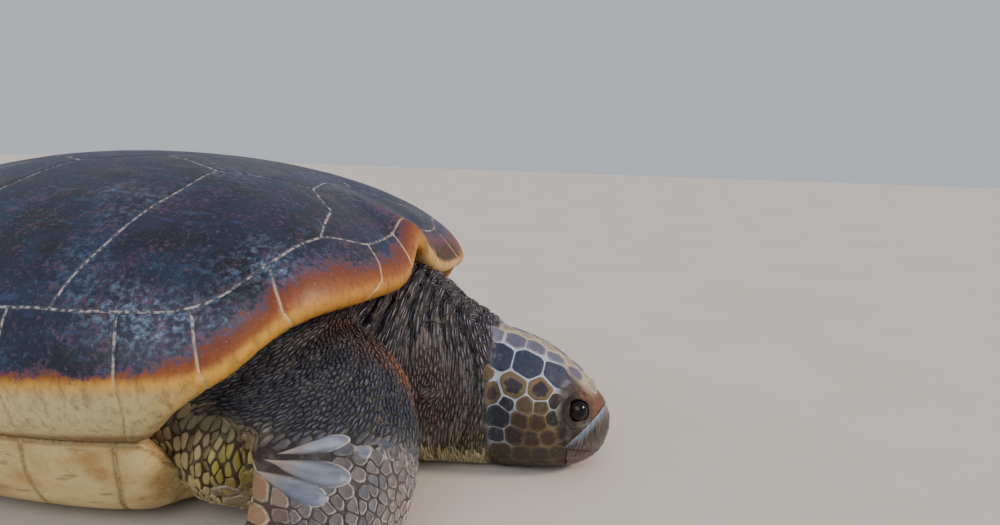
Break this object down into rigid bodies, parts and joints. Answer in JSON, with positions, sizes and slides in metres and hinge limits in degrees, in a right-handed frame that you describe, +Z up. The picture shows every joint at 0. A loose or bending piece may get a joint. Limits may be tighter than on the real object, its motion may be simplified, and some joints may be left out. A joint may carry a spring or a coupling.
{
  "type": "green sea turtle model",
  "caption": "Life-size still model of an adult green sea turtle resting on its plastron, head low and turned slightly to its left, flippers spread on the floor.",
  "frame": {"origin": "on the flat underside of the plastron, under the middle of the shell, at floor level", "axes": "+X from tail to neck along the shell, +Y to the animal's left, +Z up"},
  "size_m": [1.2935, 1.2419, 0.37],
  "materials": {
    "skin": "dry scaly skin, charcoal blue-grey with pale creases, ochre under the neck and arms",
    "carapace": "smooth keratin scutes, navy to blue-black, amber along the rim",
    "plastron": "smooth cream-yellow keratin scutes",
    "beak": "worn grey horn",
    "eye": "wet black",
    "claw": "horn"
  },
  "bodies": {
    "root": {"head": "skin", "neck": "skin", "trunk": "skin", "tail": "skin", "upper_arm_left": "skin", "upper_arm_right": "skin", "forearm_left": "skin", "forearm_right": "skin", "front_flipper_left": "skin", "front_flipper_right": "skin", "thigh_left": "skin", "thigh_right": "skin", "hind_flipper_left": "skin", "hind_flipper_right": "skin", "carapace": "carapace", "plastron": "plastron", "upper_beak": "beak", "lower_beak": "beak", "eye_left": "eye", "eye_right": "eye", "front_claw_left": "claw", "front_claw_right": "claw", "hind_claw_left": "claw", "hind_claw_right": "claw"}
  },
  "joints": []
}
